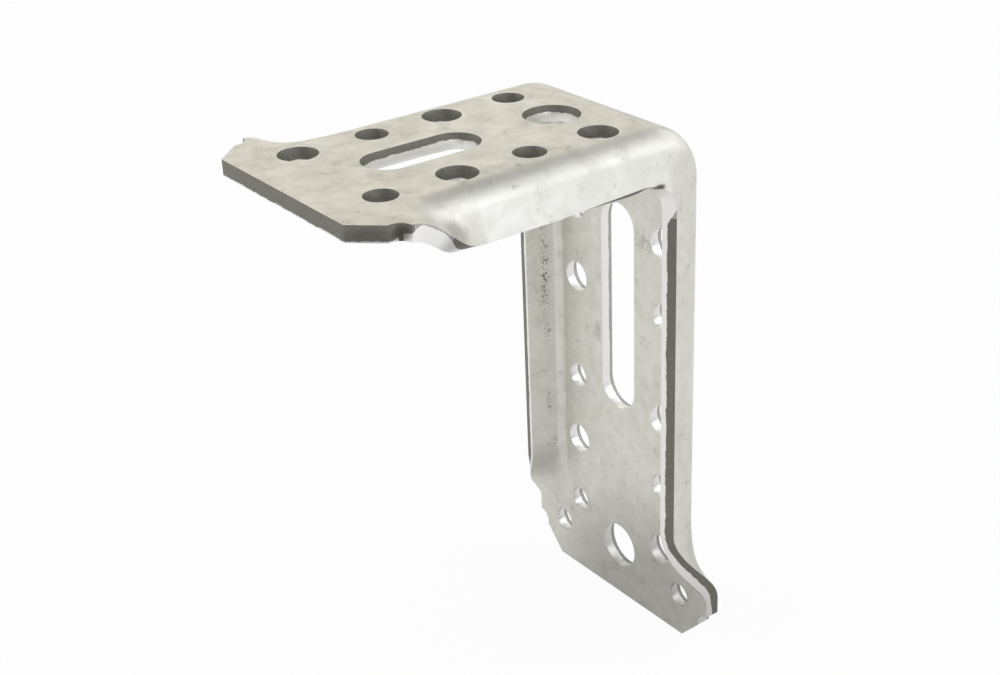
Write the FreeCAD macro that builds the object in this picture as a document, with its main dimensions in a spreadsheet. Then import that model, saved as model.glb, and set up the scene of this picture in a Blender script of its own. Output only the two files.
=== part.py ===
"""Angle bracket: one strip of steel, folded into an L with both long sides turned in.

X runs along the short leg, whose free end points to -X.
Y runs across the strip. Z is up, and the long leg hangs down.
The legs are drawn with their outer faces on the planes X = 0 and Z = 0.
The last move puts the origin at the main bolt hole's centre, on the inner face.
"""
import math
import os

import FreeCAD
import Part
import Sketcher

NODE = "angle_bracket"
doc = FreeCAD.newDocument(NODE)
sheet = doc.addObject("Spreadsheet::Sheet", "sizes")

# Millimetres and degrees. The punched face of the strip is its inner face.
SIZES = [
    ("sheet_thickness", 4.0, "thickness of the steel"),
    ("strip_width", 71.6, "width of the flat strip, seen at both feet"),
    ("short_length", 99.2, "outer length of the short leg"),
    ("long_length", 147.0, "outer length of the long leg"),
    ("heel_radius", 14.0, "outer radius of the fold between the legs"),
    ("flat_half", 22.3, "half of the flat web between the side folds"),
    ("fold_radius", 2.8, "inner radius of the side folds"),
    ("lean_angle", 18.0, "how far the sides lean outwards from square"),
    ("edge_radius", 6.0, "radius of a side's inner corner where the legs' edges meet"),
    ("outer_edge_radius", 10.0, "radius of a side's outer corner at the same place"),
    ("edge_drop", 1.2, "how far the short leg's inner corner is drawn down at the heel"),
    ("edge_lift", 1.2, "how far the short leg's outer corner is drawn up at the heel"),
    ("edge_change", 47.0, "where that begins, from the back face"),
    ("short_foot", 11.0, "flat foot of the short leg, from its end to the ramp"),
    ("long_foot", 15.0, "flat foot of the long leg, from its end to the ramp"),
    ("ramp_length", 22.0, "length over which a side folds up"),
    ("corner_cut", 9.5, "how far a foot's corner cut goes in from the side"),
    ("corner_angle", 46.8, "slope of the corner cuts from the straight end"),
    ("notch_radius", 3.2, "half-round notch beside a corner cut"),
    ("notch_overlap", 2.7, "centre of the notch, back from the corner cut's upper end"),
    ("small_hole", 6.8, "small hole on the punched face"),
    ("medium_hole", 8.5, "medium hole on the punched face"),
    ("bolt_hole", 13.0, "bolt hole on the punched face"),
    ("break_out", 0.65, "gain in a hole's radius towards the outer face"),
    ("burnish_depth", 1.6, "straight part of a hole's wall"),
    ("hole_pitch", 20.0, "pitch of the holes along a leg"),
    ("wide_pitch", 30.0, "wider pitch in the long leg's rows"),
    ("short_row_half", 17.45, "half of the distance between the short leg's rows"),
    ("long_row_half", 17.1, "half of the distance between the long leg's rows"),
    ("short_first_row", 24.3, "first holes of the short leg from the back face"),
    ("long_first_row", 34.2, "first holes of the long leg from the top face"),
    ("short_slot_width", 11.6, "width of the short leg's slot on the punched face"),
    ("short_slot_length", 29.7, "length of that slot"),
    ("short_slot_centre", 62.0, "centre of that slot from the back face"),
    ("long_slot_width", 13.0, "width of the long leg's slot on the punched face"),
    ("long_slot_length", 59.2, "length of that slot"),
    ("long_slot_centre", 57.6, "centre of that slot from the top face"),
    ("main_bolt_rise", 15.6, "main bolt hole from the long leg's free end"),
    ("foot_hole_rise", 12.1, "foot holes from the long leg's free end"),
    ("foot_hole_half", 24.8, "half of the distance between the foot holes"),
]
for row, (alias, value, note) in enumerate(SIZES, start=1):
    sheet.set("A%d" % row, alias)
    sheet.set("B%d" % row, str(value))
    sheet.set("C%d" % row, note)
    sheet.setAlias("B%d" % row, alias)
doc.recompute()


class Dim:
    """A size as the text of an expression, with its value for a sketch's first guess."""

    def __init__(self, text, value):
        self.text = text
        self.value = value

    def join(self, sign, other, value):
        return Dim("(%s %s %s)" % (self.text, sign, other.text), value)

    def __add__(self, other):
        return self.join("+", other, self.value + other.value)

    def __sub__(self, other):
        return self.join("-", other, self.value - other.value)

    def __mul__(self, other):
        return self.join("*", other, self.value * other.value)

    def __truediv__(self, other):
        return self.join("/", other, self.value / other.value)

    def __neg__(self):
        return NOTHING - self


def number(value):
    return Dim(repr(float(value)), float(value))


def size(alias):
    return Dim("sizes." + alias, float(sheet.get(alias)))


def turned(name, angle):
    """Sine, cosine or tangent of an angle in degrees."""
    value = getattr(math, name)(math.radians(angle.value))
    return Dim("%s(%s * 1 deg)" % (name, angle.text), value)


NOTHING = number(0)
ONE = number(1)
TWO = number(2)
RIGHT_ANGLE = number(90)
RADIANS = Dim("(pi / 180)", math.pi / 180)

THICKNESS = size("sheet_thickness")
LEAN = size("lean_angle")
FOLD_ANGLE = RIGHT_ANGLE - LEAN
OUTER_FOLD = size("fold_radius") + THICKNESS
STRIP_HALF = size("strip_width") / TWO
# The strip keeps its width along its middle layer, which gives a side its height.
FOLD_LENGTH = FOLD_ANGLE * RADIANS * (size("fold_radius") + THICKNESS / TWO)
SIDE_STRAIGHT = STRIP_HALF - size("flat_half") - FOLD_LENGTH
# The inner edge of a side: its place across the strip and its depth from the outer face.
EDGE_ACROSS = (size("flat_half") + size("fold_radius") * turned("cos", LEAN)
               + SIDE_STRAIGHT * turned("sin", LEAN))
EDGE_DEPTH = (THICKNESS + size("fold_radius") * (ONE - turned("sin", LEAN))
              + SIDE_STRAIGHT * turned("cos", LEAN))
# The outer corner of a side's edge lies this much further across.
EDGE_SPREAD = THICKNESS * turned("cos", LEAN)
MAIN_BOLT_DROP = size("long_length") - size("main_bolt_rise")
FAR = size("short_length") + size("long_length")

# How a sketch numbers the ends and the centre of its geometry, and its own axes.
START, END, CENTRE = range(1, 4)
ORIGIN, UPRIGHT = -1, -2

# Planes and turns on which a leg is drawn: a section has the outer face up,
# and a face has the heel up.
SECTION_PLANE = {"short": ("YZ_Plane", 0.0), "long": ("XY_Plane", -90.0)}
FACE_PLANE = {"short": ("XY_Plane", -90.0), "long": ("YZ_Plane", 0.0)}
LENGTH = {"short": size("short_length"), "long": size("long_length")}
# Where a ramp starts and where the side is fully folded, measured from the heel.
RAMP_START = {leg: size(leg + "_foot") - LENGTH[leg] for leg in LENGTH}
RAMP_END = {leg: RAMP_START[leg] + size("ramp_length") for leg in LENGTH}


def new_body(label):
    body = doc.addObject("PartDesign::Body", label)
    body.Label = label
    return body


def new_sketch(body, label, plane, offset=NOTHING):
    """A sketch on an origin plane of its body, turned about and moved along its normal."""
    role, turn = plane
    sketch = doc.addObject("Sketcher::SketchObject", label)
    body.addObject(sketch)
    for feature in body.Origin.OriginFeatures:
        if feature.Role == role:
            sketch.AttachmentSupport = [(feature, "")]
    sketch.MapMode = "FlatFace"
    rotation = FreeCAD.Rotation(FreeCAD.Vector(0, 0, 1), turn)
    sketch.AttachmentOffset = FreeCAD.Placement(FreeCAD.Vector(), rotation)
    sketch.setExpression("AttachmentOffset.Base.z", offset.text)
    sketch.Visibility = False
    return sketch


def add_feature(body, kind, label, **properties):
    """A feature of the body, computed, which must leave a sound shape."""
    feature = doc.addObject("PartDesign::" + kind, label)
    body.addObject(feature)
    for name, value in properties.items():
        if isinstance(value, Dim):
            feature.setExpression(name, value.text)
        else:
            setattr(feature, name, value)
    doc.recompute()
    if "Invalid" in feature.State or not feature.Shape.isValid():
        raise RuntimeError("%s did not build" % label)
    body.Tip = feature
    return feature


def cut(body, kind, label, **properties):
    """A feature that must take material away."""
    before = body.Tip.Shape.Volume
    feature = add_feature(body, kind, label, **properties)
    if feature.Shape.Volume >= before:
        raise RuntimeError("%s cut nothing" % label)
    return feature


def line(sketch, start, end):
    points = [FreeCAD.Vector(x, y, 0) for x, y in (start, end)]
    return sketch.addGeometry(Part.LineSegment(*points))


def arc(sketch, centre, radius, first, last):
    """An arc from one angle to another, in degrees."""
    circle = Part.Circle(FreeCAD.Vector(*centre, 0), FreeCAD.Vector(0, 0, 1), radius)
    part = Part.ArcOfCircle(circle, math.radians(first), math.radians(last))
    return sketch.addGeometry(part)


def fix(sketch, kind, *where):
    sketch.addConstraint(Sketcher.Constraint(kind, *where))


def bind(sketch, dim, kind, *where):
    """A driving constraint whose value follows the sheet."""
    guess = math.radians(dim.value) if kind == "Angle" else dim.value
    index = sketch.addConstraint(Sketcher.Constraint(kind, *where, guess))
    text = dim.text + " * 1 deg" if kind == "Angle" else dim.text
    sketch.setExpression("Constraints[%d]" % index, text)


def place(sketch, geometry, end, x, y):
    """Puts a point of the geometry at x, y from the sketch's origin."""
    bind(sketch, x, "DistanceX", ORIGIN, START, geometry, end)
    bind(sketch, y, "DistanceY", ORIGIN, START, geometry, end)


def polygon(sketch, corners):
    """A closed outline, each corner bound to its own place."""
    sides = []
    for index, (x, y) in enumerate(corners):
        next_x, next_y = corners[(index + 1) % len(corners)]
        sides.append(line(sketch, (x.value, y.value), (next_x.value, next_y.value)))
    for index, side in enumerate(sides):
        fix(sketch, "Coincident", side, END, sides[(index + 1) % len(sides)], START)
        place(sketch, side, START, *corners[index])
    return sides


def rectangle(sketch, left, right, low, high):
    return polygon(sketch, [(left, low), (right, low), (right, high), (left, high)])


def hole(sketch, x, y, diameter):
    centre = FreeCAD.Vector(x.value, y.value, 0)
    circle = Part.Circle(centre, FreeCAD.Vector(0, 0, 1), diameter.value / 2)
    round_hole = sketch.addGeometry(circle)
    place(sketch, round_hole, CENTRE, x, y)
    bind(sketch, diameter, "Diameter", round_hole)


def slot(sketch, y, width, length):
    """A slot along the leg, centred on the leg's middle line."""
    half = (length - width) / TWO
    radius = width.value / 2
    top = arc(sketch, (0, (y + half).value), radius, 0, 180)
    bottom = arc(sketch, (0, (y - half).value), radius, 180, 360)
    left = line(sketch, (-radius, (y + half).value), (-radius, (y - half).value))
    right = line(sketch, (radius, (y - half).value), (radius, (y + half).value))
    fix(sketch, "Tangent", top, END, left, START)
    fix(sketch, "Tangent", left, END, bottom, START)
    fix(sketch, "Tangent", bottom, END, right, START)
    fix(sketch, "Tangent", right, END, top, START)
    place(sketch, top, CENTRE, NOTHING, y + half)
    bind(sketch, y - half, "DistanceY", ORIGIN, START, bottom, CENTRE)
    bind(sketch, width / TWO, "Radius", bottom)


def channel_outline(sketch, inset, depth):
    """Section of the folded strip's outer or inner side, closed at a depth."""
    bend = OUTER_FOLD - inset
    half = size("flat_half").value
    lean = math.radians(LEAN.value)
    top = -inset.value
    low = -depth.value
    side_x = half + bend.value * math.cos(lean)
    side_y = top - bend.value * (1 - math.sin(lean))
    low_x = side_x + (side_y - low) * math.tan(lean)
    roof = line(sketch, (-half, top), (half, top))
    right = arc(sketch, (half, top - bend.value), bend.value, LEAN.value, 90)
    right_side = line(sketch, (side_x, side_y), (low_x, low))
    floor = line(sketch, (low_x, low), (-low_x, low))
    left_side = line(sketch, (-low_x, low), (-side_x, side_y))
    left = arc(sketch, (-half, top - bend.value), bend.value, 90, 180 - LEAN.value)
    fix(sketch, "Tangent", roof, END, right, END)
    fix(sketch, "Tangent", right, START, right_side, START)
    fix(sketch, "Coincident", right_side, END, floor, START)
    fix(sketch, "Coincident", floor, END, left_side, START)
    fix(sketch, "Tangent", left_side, END, left, END)
    fix(sketch, "Tangent", left, START, roof, START)
    fix(sketch, "Symmetric", roof, START, roof, END, UPRIGHT)
    fix(sketch, "Symmetric", floor, START, floor, END, UPRIGHT)
    fix(sketch, "Equal", right, left)
    place(sketch, roof, END, size("flat_half"), -inset)
    bind(sketch, -depth, "DistanceY", ORIGIN, START, floor, START)
    bind(sketch, bend, "Radius", right)
    bind(sketch, -FOLD_ANGLE, "Angle", right_side)
    return floor


def folded_form(label, inset, overshoot):
    """Solid inside the strip's outer or inner side, with both folds of the L."""
    body = new_body(label)
    start = RAMP_END["short"] - overshoot
    section = new_sketch(body, label + "_short", SECTION_PLANE["short"], start)
    channel_outline(section, inset, FAR)
    add_feature(body, "Pad", label + "_block", Profile=section, Length=FAR)

    reach = FAR * TWO
    section = new_sketch(body, label + "_long", SECTION_PLANE["long"], FAR)
    channel_outline(section, inset, FAR)
    rectangle(section, -reach, reach, -reach, reach)
    cut(body, "Pocket", label + "_sides", Profile=section, Type="ThroughAll")

    below = RAMP_END["long"] - overshoot
    section = new_sketch(body, label + "_end", ("XY_Plane", 0.0), below)
    rectangle(section, -reach, reach, -reach, reach)
    cut(body, "Pocket", label + "_length", Profile=section, Type="ThroughAll")

    heel = size("heel_radius")
    square = new_sketch(body, label + "_square", ("XZ_Plane", 0.0), FAR)
    rectangle(square, -heel, heel, -heel, heel)
    cut(body, "Pocket", label + "_corner", Profile=square, Type="ThroughAll")

    section = new_sketch(body, label + "_quarter", SECTION_PLANE["short"], -heel)
    floor = channel_outline(section, inset, heel)
    axis = (section, ["Edge%d" % (floor + 1)])
    add_feature(body, "Revolution", label + "_heel", Profile=section, ReferenceAxis=axis,
                Angle=RIGHT_ANGLE.value, Reversed=True)
    return body


def edge_cutter(label, side):
    """Clears what lies inside the L on one side, square to the leaning side.

    The cut face leans as far from the strip's width as the side leans from square,
    so the cut moves out to the heel as it moves out across the strip. Beside the heel
    the bending has twisted the short leg's edge: its inner corner down, its outer one up.
    """
    body = new_body(label)
    sketches = []
    tangent = size("flat_half") + size("fold_radius") * turned("cos", LEAN)
    for across in (tangent, STRIP_HALF + THICKNESS):
        share = (across - EDGE_ACROSS) / EDGE_SPREAD
        depth = EDGE_DEPTH - share * EDGE_SPREAD * turned("tan", LEAN)
        twist = share * (size("edge_drop") + size("edge_lift")) - size("edge_drop")
        radius = size("edge_radius") + share * (size("outer_edge_radius") - size("edge_radius"))
        offset = -across if side > 0 else across
        sketch = new_sketch(body, "%s_%d" % (label, len(sketches)), ("XZ_Plane", 0.0), offset)
        change = -size("edge_change")
        x, y = -depth - radius, twist - depth - radius
        centre = (x.value, y.value)
        crown = (x.value, (y + radius).value)
        right = line(sketch, (-depth.value, -FAR.value), (-depth.value, y.value))
        bend = arc(sketch, centre, radius.value, 0, 90)
        twisted = line(sketch, crown, (change.value, -depth.value))
        top = line(sketch, (change.value, -depth.value), (-FAR.value, -depth.value))
        left = line(sketch, (-FAR.value, -depth.value), (-FAR.value, -FAR.value))
        low = line(sketch, (-FAR.value, -FAR.value), (-depth.value, -FAR.value))
        sides = [bend, twisted, top, left, low, right]
        fix(sketch, "Tangent", right, END, bend, START)
        for index, edge in enumerate(sides[:-1]):
            fix(sketch, "Coincident", edge, END, sides[index + 1], START)
        fix(sketch, "Vertical", right)
        fix(sketch, "Vertical", bend, CENTRE, bend, END)
        place(sketch, bend, CENTRE, x, y)
        bind(sketch, radius, "Radius", bend)
        place(sketch, top, START, change, -depth)
        place(sketch, top, END, -FAR, -depth)
        place(sketch, low, START, -FAR, -FAR)
        fix(sketch, "Horizontal", low)
        sketches.append(sketch)
    doc.recompute()
    add_feature(body, "AdditiveLoft", label + "_loft", Profile=sketches[0],
                Sections=sketches[1:], Ruled=True)
    return body


# Sections through a ramp, from the flat foot to the full fold.
RAMP_STEPS = 6


def flat_side(sketch):
    """The outer skin of a side before it is folded: the fold's strip and the side's."""
    start = size("flat_half")
    fold = start + FOLD_LENGTH
    corners = [start, fold, fold + SIDE_STRAIGHT]
    lines = [line(sketch, (corners[0].value, 0), (corners[1].value, 0)),
             line(sketch, (corners[1].value, 0), (corners[2].value, 0))]
    fix(sketch, "Coincident", lines[0], END, lines[1], START)
    place(sketch, lines[0], START, corners[0], NOTHING)
    place(sketch, lines[1], START, corners[1], NOTHING)
    place(sketch, lines[1], END, corners[2], NOTHING)


def folded_side(sketch, angle):
    """The outer skin folded by an angle, with the fold spread over the same strip."""
    radius = FOLD_LENGTH / (angle * RADIANS) + THICKNESS / TWO
    start = size("flat_half")
    sine = math.sin(math.radians(angle.value))
    cosine = math.cos(math.radians(angle.value))
    bend = (start.value + radius.value * sine, -radius.value * (1 - cosine))
    straight = SIDE_STRAIGHT.value
    edge = (bend[0] + straight * cosine, bend[1] - straight * sine)
    fold = arc(sketch, (start.value, -radius.value), radius.value, 90 - angle.value, 90)
    side = line(sketch, bend, edge)
    fix(sketch, "Tangent", fold, START, side, START)
    place(sketch, fold, END, start, NOTHING)
    place(sketch, fold, CENTRE, start, -radius)
    bind(sketch, SIDE_STRAIGHT, "Distance", side)
    bind(sketch, -angle, "Angle", side)


def leg_end(leg):
    """The foot of a leg, and the ramps on which its sides fold up."""
    body = new_body(leg + "_foot")
    end = -LENGTH[leg]
    start = RAMP_START[leg]
    flat_half = size("flat_half")
    slope = turned("tan", size("corner_angle"))
    corner = end + size("corner_cut") * slope
    face = new_sketch(body, leg + "_plan", FACE_PLANE[leg])
    right = [(STRIP_HALF - size("corner_cut"), end), (STRIP_HALF, corner), (STRIP_HALF, start),
             (flat_half, start), (flat_half, RAMP_END[leg])]
    left = [(-x, y) for x, y in reversed(right)]
    polygon(face, right + left)
    add_feature(body, "Pad", leg + "_plate", Profile=face, Length=THICKNESS, Reversed=True)
    notches = new_sketch(body, leg + "_notches", FACE_PLANE[leg])
    for x in (STRIP_HALF, -STRIP_HALF):
        hole(notches, x, corner - size("notch_overlap"), size("notch_radius") * TWO)
    cut(body, "Pocket", leg + "_notch", Profile=notches, Type="ThroughAll")

    sketches = []
    for step in range(RAMP_STEPS + 1):
        share = step / RAMP_STEPS
        eased = number(share * share * (3 - 2 * share))
        offset = start + size("ramp_length") * number(share)
        sketch = new_sketch(body, "%s_skin_%d" % (leg, step), SECTION_PLANE[leg], offset)
        if step == 0:
            flat_side(sketch)
        else:
            folded_side(sketch, FOLD_ANGLE * eased)
        sketches.append(sketch)
    skin = doc.addObject("Part::Loft", leg + "_skin")
    skin.Sections = sketches
    skin.Solid = False
    doc.recompute()
    # The skin is thickened square to itself, as a folded strip keeps its thickness.
    ramp = doc.addObject("Part::Offset", leg + "_ramp")
    ramp.Source = skin
    ramp.Fill = True
    ramp.setExpression("Value", THICKNESS.text)
    doc.recompute()
    other = doc.addObject("Part::Mirroring", leg + "_other_ramp")
    other.Source = ramp
    other.Normal = FreeCAD.Vector(0, 1, 0)
    doc.recompute()
    return [body, ramp, other]


def rows(leg):
    """Every round hole of a leg as its place across, its place along and its size."""
    small, medium, bolt = size("small_hole"), size("medium_hole"), size("bolt_hole")
    if leg == "short":
        first = -size("short_first_row")
        half = size("short_row_half")
        places = [first - size("hole_pitch") * number(step) for step in range(4)]
        found = [(NOTHING, first, bolt)]
        swap = 0
    else:
        first = -size("long_first_row")
        half = size("long_row_half")
        second = first - size("hole_pitch")
        third = second - size("wide_pitch")
        places = [first, second, third]
        places += [third - size("hole_pitch") * number(step) for step in (1, 2)]
        found = [(NOTHING, -MAIN_BOLT_DROP, bolt)]
        for x in (size("foot_hole_half"), -size("foot_hole_half")):
            found.append((x, size("foot_hole_rise") - size("long_length"), small))
        swap = 1
    # The two sizes alternate along each row, and the rows run opposite ways.
    for index, along in enumerate(places):
        pair = (medium, small) if (index + swap) % 2 == 0 else (small, medium)
        found.append((half, along, pair[0]))
        found.append((-half, along, pair[1]))
    return found


def slot_of(leg):
    return [size("%s_slot_%s" % (leg, part)) for part in ("centre", "width", "length")]


def punch(body, leg):
    """Every hole of a leg: a straight wall near the inner face, then wider outwards."""
    centre, width, length = slot_of(leg)
    straight = new_sketch(body, leg + "_holes", FACE_PLANE[leg])
    wide = new_sketch(body, leg + "_break_outs", FACE_PLANE[leg])
    gain = size("break_out") * TWO
    for x, y, diameter in rows(leg):
        hole(straight, x, y, diameter)
        hole(wide, x, y, diameter + gain)
    slot(straight, -centre, width, length)
    slot(wide, -centre, width + gain, length + gain)
    doc.recompute()
    cut(body, "Pocket", leg + "_punched", Profile=straight, Type="ThroughAll")
    depth = THICKNESS - size("burnish_depth")
    slope = math.degrees(math.atan(size("break_out").value / depth.value))
    cut(body, "Pocket", leg + "_broken_out", Profile=wide, Length=depth, TaperAngle=-slope)


outer = folded_form("outer_form", NOTHING, NOTHING)
# Nothing of a folded side reaches past the flat strip's own width.
beyond = new_sketch(outer, "outer_form_margin", ("YZ_Plane", 0.0), FAR)
rectangle(beyond, STRIP_HALF, FAR, -FAR, FAR)
rectangle(beyond, -FAR, -STRIP_HALF, -FAR, FAR)
cut(outer, "Pocket", "outer_form_width", Profile=beyond, Type="ThroughAll")
inner = folded_form("inner_form", THICKNESS, THICKNESS)
folded = doc.addObject("Part::Cut", "folded")
folded.Base = outer
folded.Tool = inner
cutters = doc.addObject("Part::MultiFuse", "cutters")
cutters.Shapes = [edge_cutter("near_cutter", -1), edge_cutter("far_cutter", 1)]
shell = doc.addObject("Part::Cut", "shell")
shell.Base = folded
shell.Tool = cutters
doc.recompute()
ends = leg_end("short") + leg_end("long")

# A thickened ramp meets the folded shell within this distance, in millimetres,
# and the fuse closes it, which a plain fuse object can't.
JOIN_TOLERANCE = 0.05
strip = doc.addObject("Part::Feature", "strip")
strip.Shape = shell.Shape.fuse([end.Shape for end in ends], JOIN_TOLERANCE).removeSplitter()
bracket = new_body(NODE)
bracket.BaseFeature = strip
doc.recompute()
for leg in ("short", "long"):
    punch(bracket, leg)
bracket.setExpression("Placement.Base.x", THICKNESS.text)
bracket.setExpression("Placement.Base.z", MAIN_BOLT_DROP.text)
doc.recompute()

for item in doc.Objects:
    if "Invalid" in item.State or "Error" in item.State:
        raise RuntimeError("%s is in error" % item.Label)
if not bracket.Shape.isValid() or len(bracket.Shape.Solids) != 1:
    raise RuntimeError("the bracket is not one sound solid")
os.makedirs("parts", exist_ok=True)
bracket.Shape.exportStep("parts/%s.step" % bracket.Label)
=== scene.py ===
"""Looks of the angle bracket: galvanised sheet, sheared edges, and a plain pale studio."""
import math
from typing import NamedTuple

import bmesh
import bpy
from bpy.props import FloatProperty, FloatVectorProperty, PointerProperty
from mathutils import Matrix, Vector


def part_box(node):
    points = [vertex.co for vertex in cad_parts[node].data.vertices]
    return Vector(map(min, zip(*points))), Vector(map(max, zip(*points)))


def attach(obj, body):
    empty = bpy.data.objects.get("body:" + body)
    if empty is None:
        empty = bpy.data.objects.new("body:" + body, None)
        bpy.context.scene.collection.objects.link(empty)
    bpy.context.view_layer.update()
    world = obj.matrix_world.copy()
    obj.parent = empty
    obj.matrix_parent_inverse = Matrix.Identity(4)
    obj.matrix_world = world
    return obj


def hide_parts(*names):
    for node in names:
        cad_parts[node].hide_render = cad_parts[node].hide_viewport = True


bl_info = {
    "name": "Angle bracket",
    "version": (1, 0, 0),
    "blender": (4, 5, 0),
    "location": "View3D > Sidebar > Bracket",
    "description": "Dresses a folded sheet bracket in zinc and sets it in a plain studio",
    "category": "Object",
}

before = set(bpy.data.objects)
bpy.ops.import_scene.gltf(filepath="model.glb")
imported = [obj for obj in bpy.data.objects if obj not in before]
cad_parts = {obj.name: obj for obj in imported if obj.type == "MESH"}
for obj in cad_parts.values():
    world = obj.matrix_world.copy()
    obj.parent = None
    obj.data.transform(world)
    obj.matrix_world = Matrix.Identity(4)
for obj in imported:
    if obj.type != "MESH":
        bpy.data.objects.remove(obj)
NODE = "angle_bracket"
LOW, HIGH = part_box(NODE)
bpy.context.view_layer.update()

# The folded strip, in metres, as the frame holds it. The long leg's inner face is at x = 0,
# the outer faces of the two legs are at BACK and TOP, and the strip's middle is y = 0.
SHEET = HIGH.x
BACK = HIGH.x
TOP = HIGH.z
HEEL_RADIUS = 0.014
FLAT_HALF = 0.0223
FOLD_RADIUS = 0.0028
LEAN = math.radians(18.0)
RAMP = 0.022
SHORT_FOOT = 0.011
LONG_FOOT = 0.015
CORNER_CUT = 0.0098
SHORT_END = BACK - LOW.x
LONG_END = TOP - LOW.z
FOLD_ANGLE = math.pi / 2 - LEAN
FOLD_LENGTH = FOLD_ANGLE * (FOLD_RADIUS + SHEET / 2)

# Share of a sheared wall's depth that is smooth. Above 1, nothing of it is torn.
SMOOTH_IN_HOLES = 0.68
SMOOTH_IN_TOP_HOLES = 0.26
SMOOTH_IN_TOP_MIDDLE = 0.56
SMOOTH_ALONG_SIDES = 0.36
SMOOTH_AT_SHORT_FOOT = 0.07
SMOOTH_WHERE_RUBBED = 0.90
SMOOTH_WHERE_SQUEEZED = 1.05

# Half-widths, from the middle of the strip, that hold the holes, and on the short leg the bolt
# hole and slot. A foot is where the sides are folded by less than a share of the whole fold.
# The outline's own walls reach this far in from the outline.
HOLES_HALF = 0.0265
HOLES_HALF_ON_FEET = 0.0295
FOOT_FOLDED_UNDER = 0.05
MIDDLE_HALF = 0.0100
OUTLINE_REACH = 0.0035

# The material's even values: how metallic it is, and how strong and deep its relief is.
METALLIC = 0.85
RELIEF_STRENGTH = 0.35
RELIEF_DEPTH = 0.0001

# Stretches of the near edge with a finish of their own: the rubbed side of the short foot and
# the crumbled end of the long one, from the leg's end, and the squeezed heel, from the heel.
RUBBED_MIDDLE = 0.0160
RUBBED_HALF = 0.0080
RUBBED_STEEPNESS = 1.6
CRUMBLED_FROM = 0.0130
CRUMBLED_FADE = 0.0070
SQUEEZED_TO = 0.0228
SQUEEZED_FADE = 0.0045

# The cosine between a face's normal and the skin's, below which the face is all wall, and how
# much more makes it all skin.
WALL_COSINE = 0.45
WALL_COSINE_FADE = 0.30


class Mark(NamedTuple):
    """A mark of wear, or a patch of painted shade: its centre and its reach along each axis, in
    metres, and how dark it is.
    """
    centre: tuple
    reach: tuple
    strength: float


# Marks that break up into specks.
FAR_SIDE_PITS = Mark(
    centre=(-0.0042, 0.0257, 0.0775), reach=(0.0017, 0.0030, 0.0190), strength=0.75)
FAR_SIDE_MIDDLE_PITS = Mark(
    centre=(-0.0037, 0.0255, 0.0592), reach=(0.0013, 0.0030, 0.0030), strength=0.75)
FAR_SIDE_LOW_PITS = Mark(
    centre=(-0.0037, 0.0255, 0.0365), reach=(0.0010, 0.0030, 0.0050), strength=0.75)
SPECKLED_MARKS = (FAR_SIDE_PITS, FAR_SIDE_MIDDLE_PITS, FAR_SIDE_LOW_PITS)

# Marks that break up into faint blotches.
FAR_SIDE_STAIN = Mark(
    centre=(-0.0068, 0.0265, 0.0740), reach=(0.0060, 0.0050, 0.0280), strength=0.12)
NEAR_WEB_SCRATCHES = Mark(
    centre=(0.0, -0.0108, 0.0964), reach=(0.0020, 0.0050, 0.0060), strength=0.30)
SIDE_DENT = Mark(
    centre=(-0.0058, -0.0305, 0.1120), reach=(0.0018, 0.0030, 0.0050), strength=0.34)
BLOTCHED_MARKS = (FAR_SIDE_STAIN, NEAR_WEB_SCRATCHES, SIDE_DENT)

# Marks with nothing to break them up: a smudge on the web, a dark spot on the fold, a greyed ramp
# wall, and painted shade at the far ramp, the long foot, the corner cut and the notch.
WEB_SMUDGE = Mark(
    centre=(0.0, 0.0083, 0.0637), reach=(0.0020, 0.0018, 0.0036), strength=0.24)
# Painted shade in the concave turn of the far side's ramp.
FAR_RAMP_PAINTED_SHADE = Mark(
    centre=(-0.0062, 0.0280, 0.0165), reach=(0.0085, 0.0085, 0.0100), strength=0.20)
# Painted shade: the long leg darkens towards its foot, as if it reflected the shadowed floor
# there.
LONG_FOOT_PAINTED_SHADE = Mark(
    centre=(0.0, -0.0160, -0.0230), reach=(0.0300, 0.0600, 0.0560), strength=0.44)
# A dark spot on the near fold, also sunk a little by the relief.
FOLD_DARK_SPOT = Mark(
    centre=(-0.0132, -0.0308, 0.1196), reach=(0.0024, 0.0030, 0.0010), strength=0.95)
# Painted shade that darkens the near corner cut of the short foot.
CORNER_CUT_PAINTED_SHADE = Mark(
    centre=(-0.0915, -0.0298, 0.1285), reach=(0.0075, 0.0075, 0.0030), strength=0.48)
# Painted shade in the half-round notch of the short foot, and in the narrow slit where the cut
# meets it.
NOTCH_PAINTED_SHADE = Mark(
    centre=(-0.0857, -0.0334, 0.1292), reach=(0.0026, 0.0034, 0.0027), strength=0.80)
NOTCH_SLIT_PAINTED_SHADE = Mark(
    centre=(-0.0858, -0.0333, 0.1275), reach=(0.0005, 0.0030, 0.0030), strength=0.85)
RAMP_WALL_SHADE = Mark(
    centre=(-0.0722, -0.0330, 0.1250), reach=(0.0070, 0.0045, 0.0045), strength=0.42)
SMOOTH_MARKS_AND_PAINTED_SHADE = (WEB_SMUDGE, FAR_RAMP_PAINTED_SHADE, LONG_FOOT_PAINTED_SHADE, FOLD_DARK_SPOT,
                CORNER_CUT_PAINTED_SHADE, NOTCH_PAINTED_SHADE, NOTCH_SLIT_PAINTED_SHADE, RAMP_WALL_SHADE)


def fold_angle_at(along, end, foot):
    """How far a side is folded up at a distance from the heel's outer faces."""
    start = end - foot
    share = min(max((start - along) / RAMP, 0.0), 1.0)
    return FOLD_ANGLE * share * share * (3 - 2 * share)


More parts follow.
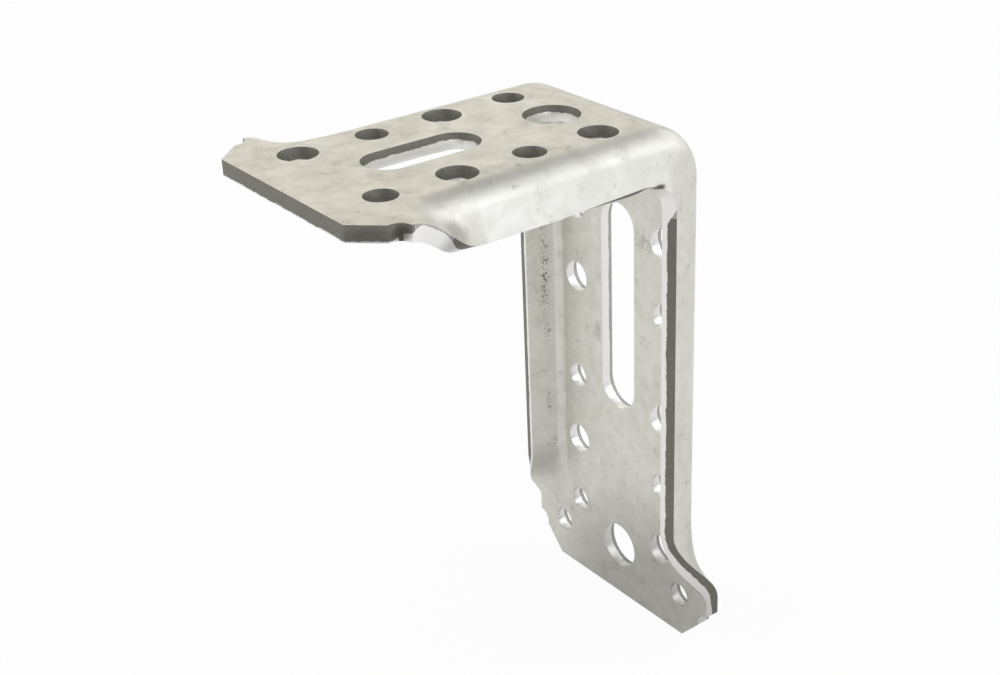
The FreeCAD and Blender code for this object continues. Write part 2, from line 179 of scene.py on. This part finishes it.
def depth_below_skin(point):
    """Distance of a point below the strip's outer skin, whichever leg or fold it is in."""
    down = TOP - point.z
    back = BACK - point.x
    if down < HEEL_RADIUS and back < HEEL_RADIUS:
        below = HEEL_RADIUS - math.hypot(HEEL_RADIUS - down, HEEL_RADIUS - back)
        angle = FOLD_ANGLE
    elif down < back:
        below = down
        angle = fold_angle_at(back, SHORT_END, SHORT_FOOT)
    else:
        below = back
        angle = fold_angle_at(down, LONG_END, LONG_FOOT)
    across = abs(point.y) - FLAT_HALF
    if across <= 0 or angle < 1e-4:
        return below
    radius = FOLD_LENGTH / angle + SHEET / 2
    turn = math.atan2(across, radius - below)
    if 0 <= turn <= angle:
        return radius - math.hypot(across, radius - below)
    bend_x = radius * math.sin(angle)
    bend_y = radius * (1 - math.cos(angle))
    return (below - bend_y) * math.cos(angle) - (across - bend_x) * math.sin(angle)


def skin_normal(point):
    """Direction in which the depth below the outer skin grows fastest."""
    step = 0.00002
    slope = []
    for axis in range(3):
        shift = Vector((0, 0, 0))
        shift[axis] = step
        slope.append(depth_below_skin(point + shift) - depth_below_skin(point - shift))
    return Vector(slope).normalized()


class BracketFinish(bpy.types.PropertyGroup):
    """Colours of the bracket's skins, walls, wear and painted shade, and the width of its rims"""
    zinc: FloatVectorProperty(
        name="Zinc", description="Colour of the zinc coat", subtype="COLOR",
        default=(0.715, 0.713, 0.655), min=0, max=1)
    zinc_dull: FloatVectorProperty(
        name="Dull zinc", description="Colour of the coat's dull patches", subtype="COLOR",
        default=(0.615, 0.61, 0.545), min=0, max=1)
    burnished: FloatVectorProperty(
        name="Burnished edge", description="Colour of the smooth part of a sheared edge",
        subtype="COLOR", default=(0.85, 0.845, 0.81), min=0, max=1)
    torn: FloatVectorProperty(
        name="Torn edge", description="Colour of the torn part of a sheared edge",
        subtype="COLOR", default=(0.184, 0.180, 0.153), min=0, max=1)
    torn_in_holes: FloatVectorProperty(
        name="Torn hole wall", description="Colour of the torn part of a hole's wall",
        subtype="COLOR", default=(0.41, 0.405, 0.385), min=0, max=1)
    # This dark colour paints the marks of wear and also the painted shade.
    dark_wear_and_shade: FloatVectorProperty(
        name="Grime and painted shade", description="Colour of the specks and smudges of wear",
        subtype="COLOR", default=(0.075, 0.07, 0.055), min=0, max=1)
    rim: FloatProperty(
        name="Rim", description="Width of the rounding along every sheared rim",
        default=0.00025, unit="LENGTH", min=0)


class BracketStudio(bpy.types.PropertyGroup):
    """Powers and colours of the lamps, the floor and the even light"""
    floor: FloatVectorProperty(
        name="Floor", description="Colour of the floor", subtype="COLOR",
        default=(0.9, 0.9, 0.9), min=0, max=1)
    side: FloatProperty(
        name="Side lamp", description="Power of the large lamp at the near right",
        default=0.2, unit="POWER", min=0)
    rear: FloatProperty(
        name="Rear lamp", description="Power of the large lamp behind, at the right",
        default=2.3, unit="POWER", min=0)
    high: FloatProperty(
        name="High lamp", description="Power of the large lamp high at the near right",
        default=1.7, unit="POWER", min=0)
    left: FloatProperty(
        name="Left lamp", description="Power of the lamp at the far left",
        default=10.8, unit="POWER", min=0)
    right: FloatProperty(
        name="Right lamp", description="Power of the lamp at the right",
        default=7.5, unit="POWER", min=0)
    front: FloatProperty(
        name="Front lamp", description="Power of the lamp in front",
        default=9.4, unit="POWER", min=0)
    cool: FloatVectorProperty(
        name="Cool light", description="Colour of the lamps in front and at the near right",
        subtype="COLOR", default=(0.91, 0.915, 1.0), min=0, max=1)
    warm: FloatVectorProperty(
        name="Warm light", description="Colour of the light that the top reflects",
        subtype="COLOR", default=(1.0, 0.945, 0.84), min=0, max=1)
    surround: FloatProperty(
        name="Surround", description="Strength of the even light from all around",
        default=0.28, min=0)


def socket(group, name, kind, way, default=None):
    """A socket on a shader node group's outside."""
    made = group.interface.new_socket(name=name, in_out=way, socket_type=kind)
    if default is not None:
        made.default_value = default


class Tree:
    """Short ways to add and join nodes of a shader tree."""

    def __init__(self, tree):
        self.tree = tree

    def add(self, kind, **settings):
        node = self.tree.nodes.new("ShaderNode" + kind)
        for name, value in settings.items():
            setattr(node, name, value)
        return node

    def join(self, source, target):
        self.tree.links.new(source, target)

    def put(self, target, value):
        """Joins another node's output to a socket, or sets the socket to a constant."""
        if isinstance(value, bpy.types.NodeSocket):
            self.join(value, target)
        else:
            target.default_value = value

    def math(self, operation, first, second=0.0, third=0.0, clamp=False):
        node = self.add("Math", operation=operation, use_clamp=clamp)
        self.put(node.inputs[0], first)
        self.put(node.inputs[1], second)
        self.put(node.inputs[2], third)
        return node.outputs[0]

    def scaled(self, vector, scale):
        """A vector or colour times a number."""
        node = self.add("VectorMath", operation="SCALE")
        self.put(node.inputs[0], vector)
        self.put(node.inputs["Scale"], scale)
        return node.outputs[0]

    def spot(self, vector, mark):
        """A mark's strength at its centre, falling to 0 at its reach along each axis."""
        away = self.add("VectorMath", operation="SUBTRACT")
        self.put(away.inputs[0], vector)
        self.put(away.inputs[1], mark.centre)
        share = self.add("VectorMath", operation="DIVIDE")
        self.put(share.inputs[0], away.outputs[0])
        self.put(share.inputs[1], mark.reach)
        size = self.add("VectorMath", operation="LENGTH")
        self.put(size.inputs[0], share.outputs[0])
        faded = self.ramp(size.outputs["Value"], low=0.35, high=1.0)
        return self.math("MULTIPLY_ADD", faded, -mark.strength, mark.strength)

    def lines(self, vector, scale, width):
        """Thin crooked lines, as scratches are, with nothing between them."""
        cells = self.add("TexVoronoi", feature="DISTANCE_TO_EDGE")
        self.put(cells.inputs["Vector"], vector)
        cells.inputs["Scale"].default_value = scale
        off_line = self.ramp(cells.outputs["Distance"], low=0.0, high=width)
        return self.math("SUBTRACT", 1.0, off_line)

    def noise(self, vector, scale, detail=4.0, roughness=0.55, distortion=0.0):
        node = self.add("TexNoise")
        self.join(vector, node.inputs["Vector"])
        node.inputs["Scale"].default_value = scale
        node.inputs["Detail"].default_value = detail
        node.inputs["Roughness"].default_value = roughness
        node.inputs["Distortion"].default_value = distortion
        return node.outputs["Fac"]

    def ramp(self, value, low, high):
        """0 below low and 1 above high, with a smooth rise between."""
        node = self.add("MapRange", interpolation_type="SMOOTHSTEP")
        self.put(node.inputs["Value"], value)
        node.inputs["From Min"].default_value = low
        node.inputs["From Max"].default_value = high
        return node.outputs["Result"]

    def mix(self, share, first, second):
        """The first colour at share 0 and the second at share 1."""
        node = self.add("Mix", data_type="RGBA")
        self.put(node.inputs["Factor"], share)
        self.put(node.inputs[6], first)
        self.put(node.inputs[7], second)
        return node.outputs[2]

    def blend(self, share, first, second):
        """The first number at share 0 and the second at share 1."""
        node = self.add("Mix", data_type="FLOAT")
        self.put(node.inputs["Factor"], share)
        self.put(node.inputs[2], first)
        self.put(node.inputs[3], second)
        return node.outputs[0]


def new_group(name):
    """An empty shader group with its tree, its way in and its way out."""
    group = bpy.data.node_groups.new(name, "ShaderNodeTree")
    outside = group.nodes.new("NodeGroupInput")
    inside = group.nodes.new("NodeGroupOutput")
    return group, Tree(group), outside, inside


def zinc_group():
    """Mottled zinc: cloudy patches, faint spangle, crooked scratches and fine grain."""
    group, tree, outside, inside = new_group("Zinc coat")
    socket(group, "Bright", "NodeSocketColor", "INPUT", (0.6, 0.6, 0.6, 1))
    socket(group, "Dull", "NodeSocketColor", "INPUT", (0.4, 0.4, 0.4, 1))
    socket(group, "Colour", "NodeSocketColor", "OUTPUT")
    socket(group, "Roughness", "NodeSocketFloat", "OUTPUT")
    socket(group, "Height", "NodeSocketFloat", "OUTPUT")
    place = tree.add("TexCoord").outputs["Object"]
    clouds = tree.noise(place, scale=42.0, detail=5.0, roughness=0.62, distortion=0.8)
    mottle = tree.noise(place, scale=230.0, detail=5.0, roughness=0.68, distortion=0.6)
    grain = tree.noise(place, scale=2400.0, detail=3.0, roughness=0.6)
    spangle = tree.add("TexVoronoi", feature="SMOOTH_F1")
    tree.join(place, spangle.inputs["Vector"])
    spangle.inputs["Scale"].default_value = 380.0
    flake = tree.add("SeparateColor")
    tree.join(spangle.outputs["Color"], flake.inputs[0])
    # Dull patches, wide and small.
    wide = tree.ramp(clouds, low=0.34, high=0.70)
    small = tree.ramp(mottle, low=0.36, high=0.66)
    patch = tree.math("MULTIPLY", wide, 0.42)
    patch = tree.math("MULTIPLY_ADD", small, 0.48, patch, clamp=True)
    colour = tree.mix(patch, outside.outputs["Bright"], outside.outputs["Dull"])
    # Scratches, bent by a noise and left in a few places only.
    bend = tree.add("VectorMath", operation="MULTIPLY_ADD")
    crook = tree.noise(place, scale=140.0, detail=3.0, roughness=0.6)
    tree.join(crook, bend.inputs[0])
    bend.inputs[1].default_value = (0.02, 0.02, 0.02)
    tree.join(place, bend.inputs[2])
    patches = tree.noise(place, scale=230.0, detail=3.0, roughness=0.6)
    few = tree.ramp(patches, low=0.57, high=0.66)
    crooked = tree.lines(bend.outputs[0], scale=170.0, width=0.075)
    scratch = tree.math("MULTIPLY", crooked, few)
    # Flakes a little lighter and darker, and darker scratches.
    shade = tree.math("MULTIPLY_ADD", flake.outputs[0], 0.07, 0.965)
    shade = tree.math("MULTIPLY_ADD", scratch, -0.24, shade)
    tree.join(tree.scaled(colour, shade), inside.inputs["Colour"])
    rough = tree.math("MULTIPLY_ADD", patch, 0.16, 0.34)
    tree.join(tree.math("MULTIPLY_ADD", grain, 0.08, rough), inside.inputs["Roughness"])
    height = tree.math("MULTIPLY_ADD", mottle, 0.8, tree.math("MULTIPLY", grain, 0.2))
    tree.join(tree.math("MULTIPLY_ADD", scratch, -0.6, height), inside.inputs["Height"])
    return group


def sheared_group():
    """A sheared wall: burnished next to the inner face, torn and dark next to the outer.

    Depth is 0 at the outer face and 1 at the inner one. Where most of a wall is smooth, as in
    the long leg's holes, the rest of it is paler.
    """
    group, tree, outside, inside = new_group("Sheared edge")
    socket(group, "Burnished", "NodeSocketColor", "INPUT", (0.6, 0.6, 0.6, 1))
    socket(group, "Torn", "NodeSocketColor", "INPUT", (0.2, 0.2, 0.2, 1))
    socket(group, "Torn in holes", "NodeSocketColor", "INPUT", (0.4, 0.4, 0.4, 1))
    socket(group, "Depth", "NodeSocketFloat", "INPUT", 0.5)
    socket(group, "Smooth share", "NodeSocketFloat", "INPUT", 0.4)
    socket(group, "Colour", "NodeSocketColor", "OUTPUT")
    socket(group, "Roughness", "NodeSocketFloat", "OUTPUT")
    socket(group, "Height", "NodeSocketFloat", "OUTPUT")
    place = tree.add("TexCoord").outputs["Object"]
    share = outside.outputs["Smooth share"]
    waver = tree.noise(place, scale=260.0, detail=5.0, roughness=0.7)
    crumbs = tree.noise(place, scale=1300.0, detail=4.0, roughness=0.75)
    level = tree.math("ADD", outside.outputs["Depth"], share)
    level = tree.math("MULTIPLY_ADD", waver, 0.34, level)
    torn = tree.math("SUBTRACT", 1.0, tree.ramp(level, low=1.14, high=1.20))
    shade = tree.math("MULTIPLY_ADD", crumbs, 0.9, 0.62)
    pale = tree.ramp(share, low=0.58, high=0.64)
    rough = tree.mix(pale, outside.outputs["Torn"], outside.outputs["Torn in holes"])
    dark = tree.scaled(rough, shade)
    tree.join(tree.mix(torn, outside.outputs["Burnished"], dark), inside.inputs["Colour"])
    tree.join(tree.blend(torn, 0.33, 0.62), inside.inputs["Roughness"])
    tree.join(tree.math("MULTIPLY", crumbs, torn), inside.inputs["Height"])
    return group


def wear_and_shade_group():
    """How dark wear and painted shade make the bracket: clustered pits, faint stains, a dent,
    dark spots and painted shade.
    """
    group, tree, outside, inside = new_group("Wear and painted shade")
    socket(group, "Grime and painted shade", "NodeSocketFloat", "OUTPUT")
    place = tree.add("TexCoord").outputs["Object"]
    fine = tree.noise(place, scale=1300.0, detail=3.0, roughness=0.7, distortion=0.6)
    specks = tree.ramp(fine, low=0.50, high=0.60)
    coarse = tree.noise(place, scale=420.0, detail=5.0, roughness=0.65, distortion=1.2)
    blotches = tree.ramp(coarse, low=0.50, high=0.62)
    total = 0.0
    for mark in SPECKLED_MARKS:
        total = tree.math("MULTIPLY_ADD", tree.spot(place, mark), specks, total)
    for mark in BLOTCHED_MARKS:
        total = tree.math("MULTIPLY_ADD", tree.spot(place, mark), blotches, total)
    for mark in SMOOTH_MARKS_AND_PAINTED_SHADE:
        total = tree.math("ADD", tree.spot(place, mark), total, clamp=True)
    tree.join(total, inside.inputs["Grime and painted shade"])
    return group


def bracket_material(finish):
    """Zinc on the skins, a sheared finish on the walls, by the mesh's own attributes."""
    material = bpy.data.materials.new("galvanised_steel")
    material.use_nodes = True
    tree = Tree(material.node_tree)
    shader = material.node_tree.nodes["Principled BSDF"]
    zinc = tree.add("Group", node_tree=zinc_group())
    zinc.inputs["Bright"].default_value = (*finish.zinc, 1)
    zinc.inputs["Dull"].default_value = (*finish.zinc_dull, 1)
    sheared = tree.add("Group", node_tree=sheared_group())
    sheared.inputs["Burnished"].default_value = (*finish.burnished, 1)
    sheared.inputs["Torn"].default_value = (*finish.torn, 1)
    sheared.inputs["Torn in holes"].default_value = (*finish.torn_in_holes, 1)
    worn_and_shaded = tree.add("Group", node_tree=wear_and_shade_group())
    depth = tree.add("Attribute", attribute_name="depth").outputs["Fac"]
    smooth = tree.add("Attribute", attribute_name="smooth_share").outputs["Fac"]
    wall = tree.add("Attribute", attribute_name="wall").outputs["Fac"]
    tree.join(depth, sheared.inputs["Depth"])
    tree.join(smooth, sheared.inputs["Smooth share"])
    colour = tree.mix(wall, zinc.outputs["Colour"], sheared.outputs["Colour"])
    # Darkens towards that colour both by wear and by painted shade.
    colour = tree.mix(worn_and_shaded.outputs["Grime and painted shade"], colour, (*finish.dark_wear_and_shade, 1))
    tree.join(colour, shader.inputs["Base Color"])
    tree.join(tree.blend(wall, zinc.outputs["Roughness"], sheared.outputs["Roughness"]),
              shader.inputs["Roughness"])
    bump = tree.add("Bump")
    bump.inputs["Strength"].default_value = RELIEF_STRENGTH
    bump.inputs["Distance"].default_value = RELIEF_DEPTH
    height = tree.blend(wall, zinc.outputs["Height"], sheared.outputs["Height"])
    height = tree.math("MULTIPLY_ADD", worn_and_shaded.outputs["Grime and painted shade"], -0.8, height)
    tree.join(height, bump.inputs["Height"])
    tree.join(bump.outputs["Normal"], shader.inputs["Normal"])
    shader.inputs["Metallic"].default_value = METALLIC
    return material


# Points nearer than this are one point, and nearer than this to a cut are on it, in metres.
JOIN_WITHIN = 0.000002
CUT_WITHIN = 0.000001
# An edge is sharp, and gets a rounded rim, where its faces turn by more than this.
RIM_ANGLE = math.radians(40)
# Shading stays sharp over edges that turn by more than this.
SHARP_ANGLE = math.radians(50)


def split_near_side(form, height):
    """Cuts the near side's faces at a height, so that the walls' finish can change there."""
    faces = [face for face in form.faces if face.calc_center_median().y < -HOLES_HALF]
    edges = {edge for face in faces for edge in face.edges}
    points = {point for face in faces for point in face.verts}
    bmesh.ops.bisect_plane(form, geom=[*points, *edges, *faces], dist=CUT_WITHIN,
                           plane_co=(0, 0, height), plane_no=(0, 0, 1))


def bracket_mesh(rim):
    """A copy of the frame's solid with its rims rounded and its near edge ready to be marked."""
    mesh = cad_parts[NODE].data.copy()
    mesh.name = "bracket"
    mesh.materials.clear()
    form = bmesh.new()
    form.from_mesh(mesh)
    bmesh.ops.remove_doubles(form, verts=form.verts, dist=JOIN_WITHIN)
    bmesh.ops.dissolve_degenerate(form, edges=form.edges, dist=JOIN_WITHIN)
    sharp = [edge for edge in form.edges
             if edge.is_manifold and edge.calc_face_angle(0) > RIM_ANGLE]
    bmesh.ops.bevel(form, geom=sharp, offset=rim, offset_type="OFFSET", segments=2,
                    profile=0.5, affect="EDGES", clamp_overlap=True, miter_outer="SHARP")
    for down in (SQUEEZED_TO, SQUEEZED_TO - SQUEEZED_FADE):
        split_near_side(form, TOP - down)
    for face in form.faces:
        face.smooth = True
    form.to_mesh(mesh)
    form.free()
    return mesh


def smooth_share(point):
    """Share of a wall that the shears left smooth: much in the holes, least at the short foot."""
    down = TOP - point.z
    back = BACK - point.x
    on_short_leg = down < back
    if on_short_leg:
        from_end = SHORT_END - back
        folded = fold_angle_at(back, SHORT_END, SHORT_FOOT) / FOLD_ANGLE
    else:
        from_end = LONG_END - down
        folded = fold_angle_at(down, LONG_END, LONG_FOOT) / FOLD_ANGLE
    from_side = HIGH.y - abs(point.y)
    from_cut = (from_end + from_side - CORNER_CUT) / math.sqrt(2)
    holes_half = HOLES_HALF_ON_FEET if folded < FOOT_FOLDED_UNDER else HOLES_HALF
    if abs(point.y) < holes_half and min(from_end, from_cut) > OUTLINE_REACH:
        if not on_short_leg:
            return SMOOTH_IN_HOLES
        return SMOOTH_IN_TOP_MIDDLE if abs(point.y) < MIDDLE_HALF else SMOOTH_IN_TOP_HOLES
    share = SMOOTH_ALONG_SIDES
    if on_short_leg:
        share += (SMOOTH_AT_SHORT_FOOT - SMOOTH_ALONG_SIDES) * (1 - folded)
    if point.y > 0:
        return share
    if on_short_leg:
        rubbed = RUBBED_STEEPNESS * (1 - abs(from_end - RUBBED_MIDDLE) / RUBBED_HALF)
        squeezed = (SQUEEZED_TO - back) / SQUEEZED_FADE
    else:
        rubbed = (CRUMBLED_FROM - from_end) / CRUMBLED_FADE
        squeezed = (SQUEEZED_TO - down) / SQUEEZED_FADE
    share += (SMOOTH_WHERE_RUBBED - share) * min(max(rubbed, 0.0), 1.0)
    return share + (SMOOTH_WHERE_SQUEEZED - share) * min(max(squeezed, 0.0), 1.0)


def mark_walls(mesh):
    """Writes what the walls' finish follows: depth below the skin, smooth share and wall."""
    depth = mesh.attributes.new("depth", "FLOAT", "POINT")
    places = [vertex.co for vertex in mesh.vertices]
    depth.data.foreach_set("value", [depth_below_skin(place) / SHEET for place in places])
    smooth = mesh.attributes.new("smooth_share", "FLOAT", "POINT")
    smooth.data.foreach_set("value", [smooth_share(place) for place in places])
    wall = mesh.attributes.new("wall", "FLOAT", "CORNER")
    shares = [0.0] * len(mesh.loops)
    for face in mesh.polygons:
        facing = abs(face.normal.dot(skin_normal(face.center)))
        share = 1.0 - min(max((facing - WALL_COSINE) / WALL_COSINE_FADE, 0.0), 1.0)
        for loop in face.loop_indices:
            shares[loop] = share
    wall.data.foreach_set("value", shares)


def level_normals(piece):
    """Shades the wide faces flat right up to their rounded rims, by the faces' areas."""
    weighted = piece.modifiers.new("level", "WEIGHTED_NORMAL")
    weighted.mode = "FACE_AREA"
    weighted.weight = 90
    weighted.keep_sharp = True
    shaped = piece.evaluated_get(bpy.context.evaluated_depsgraph_get())
    rough = piece.data
    piece.data = bpy.data.meshes.new_from_object(shaped)
    piece.modifiers.remove(weighted)
    bpy.data.meshes.remove(rough)
    piece.data.name = "bracket"


class BRACKET_OT_bracket(bpy.types.Operator):
    """Makes the dressed bracket in place of the plain solid"""
    bl_idname = "bracket.bracket"
    bl_label = "Bracket"

    def execute(self, context):
        finish = context.scene.bracket_finish
        mesh = bracket_mesh(finish.rim)
        mark_walls(mesh)
        mesh.materials.append(bracket_material(finish))
        piece = bpy.data.objects.new("bracket", mesh)
        context.scene.collection.objects.link(piece)
        bpy.context.view_layer.objects.active = piece
        mesh.shade_smooth()
        mesh.set_sharp_from_angle(angle=SHARP_ANGLE)
        level_normals(piece)
        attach(piece, "root")
        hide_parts(NODE)
        return {"FINISHED"}


# The camera as the photograph has it, in metres and degrees, with its lens in millimetres.
CAMERA_PLACE = Vector((-0.25036, -0.29734, 0.25723))
CAMERA_AZIMUTH = math.radians(-35.504)
CAMERA_ELEVATION = math.radians(26.201)
CAMERA_ROLL = math.radians(-2.413)
CAMERA_LENS = 58.95


class Lamp(NamedTuple):
    """Where a lamp stands, and how wide and high it is, in metres."""
    place: tuple
    size: tuple


LAMP_TARGET = Vector((-0.03, 0.0, 0.06))
SIDE_LAMP = Lamp(place=(0.62, -1.02, 0.20), size=(0.9, 0.9))
HIGH_LAMP = Lamp(place=(0.58, -0.60, 0.80), size=(0.9, 1.0))
REAR_LAMP = Lamp(place=(0.48, 0.96, 0.52), size=(0.9, 0.9))
LEFT_LAMP = Lamp(place=(-0.95, 0.75, 0.60), size=(1.7, 1.2))
RIGHT_LAMP = Lamp(place=(1.15, -0.15, 0.68), size=(1.9, 1.2))
FRONT_LAMP = Lamp(place=(-0.10, -1.15, 0.48), size=(1.6, 1.0))

# The floor's size and its gap under the bracket, in metres, and how much of its look is plain
# white, to the camera and to the metal.
FLOOR_SIZE = 8.0
FLOOR_GAP = 0.0005
FLOOR_WHITE_TO_CAMERA = 0.93
FLOOR_WHITE_TO_METAL = 0.50


def camera_turn():
    """Rotation whose columns are the camera's right, up and back."""
    azimuth, elevation = CAMERA_AZIMUTH, CAMERA_ELEVATION
    back = Vector((math.sin(azimuth) * math.cos(elevation),
                   -math.cos(azimuth) * math.cos(elevation),
                   math.sin(elevation)))
    right = Vector((0, 0, 1)).cross(back).normalized()
    up = back.cross(right)
    turn = Matrix((right, up, back)).transposed()
    return turn @ Matrix.Rotation(CAMERA_ROLL, 3, "Z")


def add_camera(scene):
    """The camera at the photograph's place, made the scene's own."""
    camera = bpy.data.cameras.new("camera")
    camera.lens = CAMERA_LENS
    camera.sensor_width = 36.0
    camera.clip_start = 0.01
    holder = bpy.data.objects.new("camera", camera)
    holder.matrix_world = Matrix.Translation(CAMERA_PLACE) @ camera_turn().to_4x4()
    scene.collection.objects.link(holder)
    scene.camera = holder


def add_lamp(scene, name, lamp, power, colour=(1, 1, 1)):
    """A soft rectangular lamp that faces the middle of the bracket."""
    light = bpy.data.lights.new(name, "AREA")
    light.shape = "RECTANGLE"
    light.size, light.size_y = lamp.size
    light.energy = power
    light.color = colour
    holder = bpy.data.objects.new(name, light)
    place = Vector(lamp.place)
    turn = (LAMP_TARGET - place).to_track_quat("-Z", "Y").to_matrix().to_4x4()
    holder.matrix_world = Matrix.Translation(place) @ turn
    scene.collection.objects.link(holder)


def add_surround(scene, strength):
    """White to the camera, and a soft even light to all else."""
    world = bpy.data.worlds.new("surround")
    world.use_nodes = True
    scene.world = world
    tree = Tree(world.node_tree)
    soft = world.node_tree.nodes["Background"]
    soft.inputs["Color"].default_value = (1, 1, 1, 1)
    soft.inputs["Strength"].default_value = strength
    white = tree.add("Background")
    white.inputs["Color"].default_value = (1, 1, 1, 1)
    white.inputs["Strength"].default_value = 1.0
    mixed = tree.add("MixShader")
    tree.join(tree.add("LightPath").outputs["Is Camera Ray"], mixed.inputs[0])
    tree.join(soft.outputs[0], mixed.inputs[1])
    tree.join(white.outputs[0], mixed.inputs[2])
    tree.join(mixed.outputs[0], world.node_tree.nodes["World Output"].inputs["Surface"])


def add_floor(scene, colour):
    """A wide pale floor, nearly white to the camera, which keeps the bracket's shadow."""
    bpy.ops.mesh.primitive_plane_add(size=FLOOR_SIZE, location=(0, 0, LOW.z - FLOOR_GAP))
    floor = bpy.context.object
    floor.name = "floor"
    material = bpy.data.materials.new("floor")
    material.use_nodes = True
    tree = Tree(material.node_tree)
    shader = material.node_tree.nodes["Principled BSDF"]
    shader.inputs["Base Color"].default_value = (*colour, 1)
    shader.inputs["Roughness"].default_value = 0.9
    shader.inputs["Specular IOR Level"].default_value = 0.0
    path = tree.add("LightPath")
    white = tree.add("Emission")
    white.inputs["Color"].default_value = (1, 1, 1, 1)
    white.inputs["Strength"].default_value = 1.0
    shown = tree.math("MULTIPLY", path.outputs["Is Camera Ray"], FLOOR_WHITE_TO_CAMERA)
    shown = tree.math("MULTIPLY_ADD", path.outputs["Is Glossy Ray"], FLOOR_WHITE_TO_METAL, shown)
    mixed = tree.add("MixShader")
    tree.join(shown, mixed.inputs[0])
    tree.join(shader.outputs[0], mixed.inputs[1])
    tree.join(white.outputs[0], mixed.inputs[2])
    output = material.node_tree.nodes["Material Output"]
    tree.join(mixed.outputs[0], output.inputs["Surface"])
    floor.data.materials.append(material)


class BRACKET_OT_studio(bpy.types.Operator):
    """Sets the camera, the lamps and the floor"""
    bl_idname = "bracket.studio"
    bl_label = "Studio"

    def execute(self, context):
        scene = context.scene
        studio = scene.bracket_studio
        add_camera(scene)
        add_lamp(scene, "side", SIDE_LAMP, studio.side, studio.cool)
        add_lamp(scene, "high", HIGH_LAMP, studio.high, studio.cool)
        add_lamp(scene, "rear", REAR_LAMP, studio.rear, studio.warm)
        add_lamp(scene, "left", LEFT_LAMP, studio.left)
        add_lamp(scene, "right", RIGHT_LAMP, studio.right)
        add_lamp(scene, "front", FRONT_LAMP, studio.front, studio.cool)
        add_floor(scene, studio.floor)
        add_surround(scene, studio.surround)
        scene.view_settings.view_transform = "Standard"
        return {"FINISHED"}


class BRACKET_PT_panel(bpy.types.Panel):
    """Lists the bracket's operators and settings"""
    bl_idname = "BRACKET_PT_panel"
    bl_label = "Bracket"
    bl_space_type = "VIEW_3D"
    bl_region_type = "UI"
    bl_category = "Bracket"

    def draw(self, context):
        layout = self.layout
        for settings in (context.scene.bracket_finish, context.scene.bracket_studio):
            for name in settings.bl_rna.properties.keys():
                if name not in ("rna_type", "name"):
                    layout.prop(settings, name)
        layout.operator(BRACKET_OT_bracket.bl_idname)
        layout.operator(BRACKET_OT_studio.bl_idname)


CLASSES = (BracketFinish, BracketStudio, BRACKET_OT_bracket, BRACKET_OT_studio,
           BRACKET_PT_panel)


def register():
    for item in CLASSES:
        bpy.utils.register_class(item)
    bpy.types.Scene.bracket_finish = PointerProperty(type=BracketFinish)
    bpy.types.Scene.bracket_studio = PointerProperty(type=BracketStudio)


def unregister():
    del bpy.types.Scene.bracket_studio
    del bpy.types.Scene.bracket_finish
    for item in reversed(CLASSES):
        bpy.utils.unregister_class(item)


def main():
    register()
    bpy.ops.bracket.bracket()
    bpy.ops.bracket.studio()


if __name__ == "__main__":
    main()
